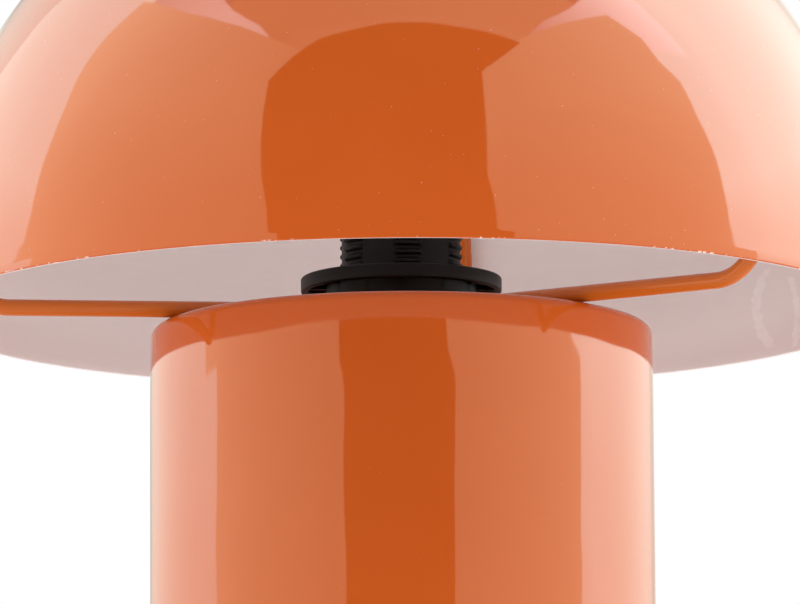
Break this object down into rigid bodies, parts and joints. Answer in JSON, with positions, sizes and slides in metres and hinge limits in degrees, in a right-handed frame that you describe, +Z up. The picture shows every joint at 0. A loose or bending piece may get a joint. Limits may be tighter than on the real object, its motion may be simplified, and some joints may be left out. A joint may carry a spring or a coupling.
{
  "type": "mushroom table lamp",
  "caption": "Mushroom table lamp: a domed steel shade on bent rods over a fat cylindrical base, held by a screw ring on the lampholder's threaded barrel.",
  "frame": {"origin": "on the surface the lamp stands on, under the middle of the base", "axes": "+Z up through the lampholder, +Y to the rear, where the cord inlet is"},
  "size_m": [0.21, 0.21, 0.2403],
  "materials": {
    "orange_enamel": "gloss",
    "zinc_steel": "zinc plated",
    "black_rubber": "matte",
    "black_plastic": "satin",
    "contact_brass": "bright",
    "brown_insulation": "semi-gloss",
    "blue_insulation": "semi-gloss",
    "natural_nylon": "satin"
  },
  "bodies": {
    "base": {"base_shell": "orange_enamel", "bottom_plate": "zinc_steel", "plate_screws": "zinc_steel", "plate_lug_1": "zinc_steel", "plate_lug_2": "zinc_steel", "plate_lug_3": "zinc_steel", "block_screw": "zinc_steel", "rubber_feet": "black_rubber", "cord_bush": "black_plastic", "clamp_ring": "black_plastic", "holder_barrel": "black_plastic", "holder_insert": "black_plastic", "holder_cap": "black_plastic", "cord_grip": "black_plastic", "centre_contact": "contact_brass", "side_contacts": "contact_brass", "terminal_screws": "contact_brass", "lead_live": "brown_insulation", "lead_neutral": "blue_insulation", "terminal_block": "natural_nylon"},
    "shade": {"shade_dome": "orange_enamel", "hub_washer": "orange_enamel", "shade_rod_rear": "orange_enamel", "shade_rod_left": "orange_enamel", "shade_rod_right": "orange_enamel"},
    "ring": {"shade_ring": "black_plastic"}
  },
  "joints": [
    {"name": "shade_lift", "type": "slide", "parent": "base", "child": "shade", "axis": [0, 0, 1], "range_m": [0, 0.028]},
    {"name": "shade_ring_turn", "type": "hinge", "parent": "shade", "child": "ring", "pos_m": [0, 0, 0.126], "axis": [0, 0, 1], "range_deg": [0, 5040]}
  ],
  "couplings": [
    {"joint": "shade_ring_turn", "follows": "shade_lift", "rad_per_m": 3141.6}
  ]
}
